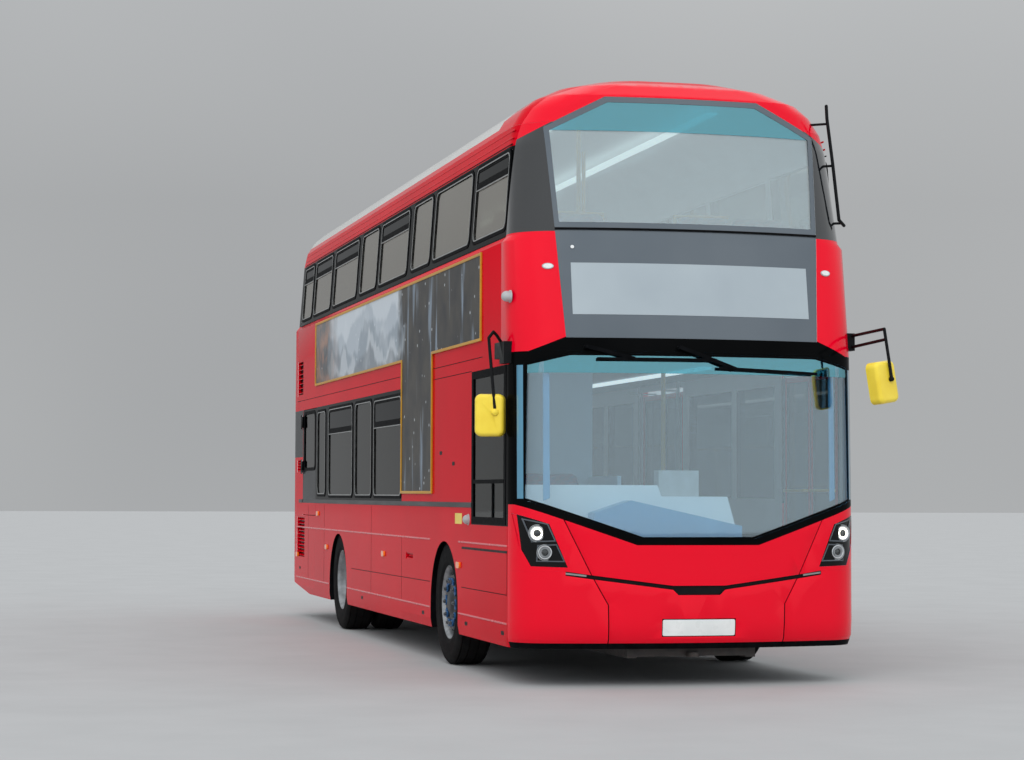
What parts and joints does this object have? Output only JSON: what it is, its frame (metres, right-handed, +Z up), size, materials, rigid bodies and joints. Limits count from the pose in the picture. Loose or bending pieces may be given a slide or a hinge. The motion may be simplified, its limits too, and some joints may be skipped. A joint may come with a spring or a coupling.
{
  "type": "double decker bus",
  "caption": "Low-floor double decker city bus with glazed decks, gliding entrance doors, swing-plug exit doors, opening emergency door and engine cover, and steered front wheels.",
  "frame": {"origin": "centre of the box around the whole bus, on the ground under the tyres", "axes": "+Z up, the nose faces -Y, +X is the nearside with the passenger doors"},
  "size_m": [2.8913, 10.7567, 4.345],
  "materials": {
    "red_paint": "gloss",
    "white_paint": "gloss",
    "door_paint": "gloss",
    "clear_glass": "gloss",
    "tinted_glass": "gloss",
    "dark_display": "gloss",
    "lamp_lens": "gloss",
    "floor_vinyl": "satin",
    "seat_moquette": "matt",
    "yellow_rail": "satin",
    "grey_laminate": "satin",
    "chassis_steel": "satin",
    "engine_iron": "rough",
    "gold_trim": "satin",
    "panel_vinyl": "satin",
    "black_plastic": "satin",
    "grille_black": "matt",
    "yellow_plastic": "gloss",
    "wheel_steel": "satin",
    "tyre_rubber": "matt",
    "arm_steel": "satin"
  },
  "bodies": {
    "body": {"advert_frame": "gold_trim", "advert_panel": "panel_vinyl", "cab": "grey_laminate", "chassis_frame": "chassis_steel", "cross_members": "chassis_steel", "destination_panel": "dark_display", "driver_seat": "seat_moquette", "engine_block": "engine_iron", "engine_housing": "floor_vinyl", "front_axle": "chassis_steel", "front_bumper": "red_paint", "front_dome": "red_paint", "front_panel": "red_paint", "handrails": "yellow_rail", "lamps": "lamp_lens", "lower_floor": "floor_vinyl", "lower_seats": "seat_moquette", "lower_side_nearside": "red_paint", "lower_side_offside": "red_paint", "mirrors": "yellow_plastic", "rear_axle": "chassis_steel", "rear_floor": "floor_vinyl", "rear_panel": "red_paint", "roof": "white_paint", "side_windows": "tinted_glass", "staircase": "floor_vinyl", "tree_bar": "black_plastic", "upper_floor": "floor_vinyl", "upper_front": "red_paint", "upper_seats": "seat_moquette", "upper_side_nearside": "red_paint", "upper_side_offside": "red_paint", "vent_grilles": "grille_black", "wheel_boxes": "floor_vinyl", "windscreens": "clear_glass", "wipers": "black_plastic"},
    "knuckle_offside": {"knuckle_offside": "chassis_steel"},
    "front_wheel_offside": {"front_tyre_offside": "tyre_rubber", "front_wheel_offside": "wheel_steel"},
    "rear_wheel_offside": {"rear_tyre_offside": "tyre_rubber", "rear_wheel_offside": "wheel_steel"},
    "knuckle_nearside": {"knuckle_nearside": "chassis_steel"},
    "front_wheel_nearside": {"front_tyre_nearside": "tyre_rubber", "front_wheel_nearside": "wheel_steel"},
    "rear_wheel_nearside": {"rear_tyre_nearside": "tyre_rubber", "rear_wheel_nearside": "wheel_steel"},
    "entrance_arm_fore": {"entrance_arm_fore": "arm_steel"},
    "entrance_leaf_fore": {"entrance_leaf_fore": "door_paint"},
    "entrance_arm_aft": {"entrance_arm_aft": "arm_steel"},
    "entrance_leaf_aft": {"entrance_leaf_aft": "door_paint"},
    "exit_arm_fore": {"exit_arm_fore": "arm_steel"},
    "exit_leaf_fore": {"exit_leaf_fore": "door_paint"},
    "exit_arm_aft": {"exit_arm_aft": "arm_steel"},
    "exit_leaf_aft": {"exit_leaf_aft": "door_paint"},
    "emergency_door": {"emergency_door": "red_paint"},
    "engine_cover": {"engine_cover": "red_paint"},
    "steering_wheel": {"steering_wheel": "black_plastic"}
  },
  "joints": [
    {"name": "steer_offside", "type": "hinge", "parent": "body", "child": "knuckle_offside", "pos_m": [-1.0075, -2.625, 0.478], "axis": [0, 0, 1], "range_deg": [-40, 40]},
    {"name": "spin_front_offside", "type": "hinge", "parent": "knuckle_offside", "child": "front_wheel_offside", "pos_m": [-1.0975, -2.625, 0.478], "axis": [1, 0, 0], "continuous": true},
    {"name": "spin_rear_offside", "type": "hinge", "parent": "body", "child": "rear_wheel_offside", "pos_m": [-1.0975, 2.315, 0.478], "axis": [1, 0, 0], "continuous": true},
    {"name": "steer_nearside", "type": "hinge", "parent": "body", "child": "knuckle_nearside", "pos_m": [1.0075, -2.625, 0.478], "axis": [0, 0, 1], "range_deg": [-40, 40]},
    {"name": "spin_front_nearside", "type": "hinge", "parent": "knuckle_nearside", "child": "front_wheel_nearside", "pos_m": [1.0975, -2.625, 0.478], "axis": [1, 0, 0], "continuous": true},
    {"name": "spin_rear_nearside", "type": "hinge", "parent": "body", "child": "rear_wheel_nearside", "pos_m": [1.0975, 2.315, 0.478], "axis": [1, 0, 0], "continuous": true},
    {"name": "steering_wheel_turn", "type": "hinge", "parent": "body", "child": "steering_wheel", "pos_m": [-0.68, -4.225, 1.13], "axis": [0, 0.5, 0.866], "range_deg": [-720, 720]},
    {"name": "entrance_arm_fore_swing", "type": "hinge", "parent": "body", "child": "entrance_arm_fore", "pos_m": [1.235, -4.631, 0.35], "axis": [0, 0, 1], "range_deg": [0, 90]},
    {"name": "entrance_leaf_fore_turn", "type": "hinge", "parent": "entrance_arm_fore", "child": "entrance_leaf_fore", "pos_m": [1.235, -4.3305, 0.35], "axis": [0, 0, 1], "range_deg": [-180, 0]},
    {"name": "entrance_arm_aft_swing", "type": "hinge", "parent": "body", "child": "entrance_arm_aft", "pos_m": [1.235, -3.479, 0.35], "axis": [0, 0, -1], "range_deg": [0, 90]},
    {"name": "entrance_leaf_aft_turn", "type": "hinge", "parent": "entrance_arm_aft", "child": "entrance_leaf_aft", "pos_m": [1.235, -3.7795, 0.35], "axis": [0, 0, -1], "range_deg": [-180, 0]},
    {"name": "exit_arm_fore_swing", "type": "hinge", "parent": "body", "child": "exit_arm_fore", "pos_m": [1.17, -0.955, 0.35], "axis": [0, 0, -1], "range_deg": [0, 137.78]},
    {"name": "exit_leaf_fore_turn", "type": "hinge", "parent": "exit_arm_fore", "child": "exit_leaf_fore", "pos_m": [1.235, -0.675, 0.35], "axis": [0, 0, -1], "range_deg": [-137.78, 0]},
    {"name": "exit_arm_aft_swing", "type": "hinge", "parent": "body", "child": "exit_arm_aft", "pos_m": [1.17, 0.205, 0.35], "axis": [0, 0, 1], "range_deg": [0, 137.78]},
    {"name": "exit_leaf_aft_turn", "type": "hinge", "parent": "exit_arm_aft", "child": "exit_leaf_aft", "pos_m": [1.235, -0.075, 0.35], "axis": [0, 0, 1], "range_deg": [-137.78, 0]},
    {"name": "emergency_door_hinge", "type": "hinge", "parent": "body", "child": "emergency_door", "pos_m": [-1.274, 4.625, 1.6], "axis": [0, 0, -1], "range_deg": [0, 100]},
    {"name": "engine_cover_hinge", "type": "hinge", "parent": "body", "child": "engine_cover", "pos_m": [0, 5.389, 1.25], "axis": [1, 0, 0], "range_deg": [0, 75]}
  ],
  "couplings": [
    {"joint": "steer_nearside", "follows": "steer_offside", "ratio": 1},
    {"joint": "steering_wheel_turn", "follows": "steer_offside", "ratio": 18},
    {"joint": "entrance_arm_aft_swing", "follows": "entrance_arm_fore_swing", "ratio": 1},
    {"joint": "entrance_leaf_fore_turn", "follows": "entrance_arm_fore_swing", "ratio": -2},
    {"joint": "entrance_leaf_aft_turn", "follows": "entrance_arm_fore_swing", "ratio": -2},
    {"joint": "exit_arm_aft_swing", "follows": "exit_arm_fore_swing", "ratio": 1},
    {"joint": "exit_leaf_fore_turn", "follows": "exit_arm_fore_swing", "ratio": -1},
    {"joint": "exit_leaf_aft_turn", "follows": "exit_arm_fore_swing", "ratio": -1}
  ]
}
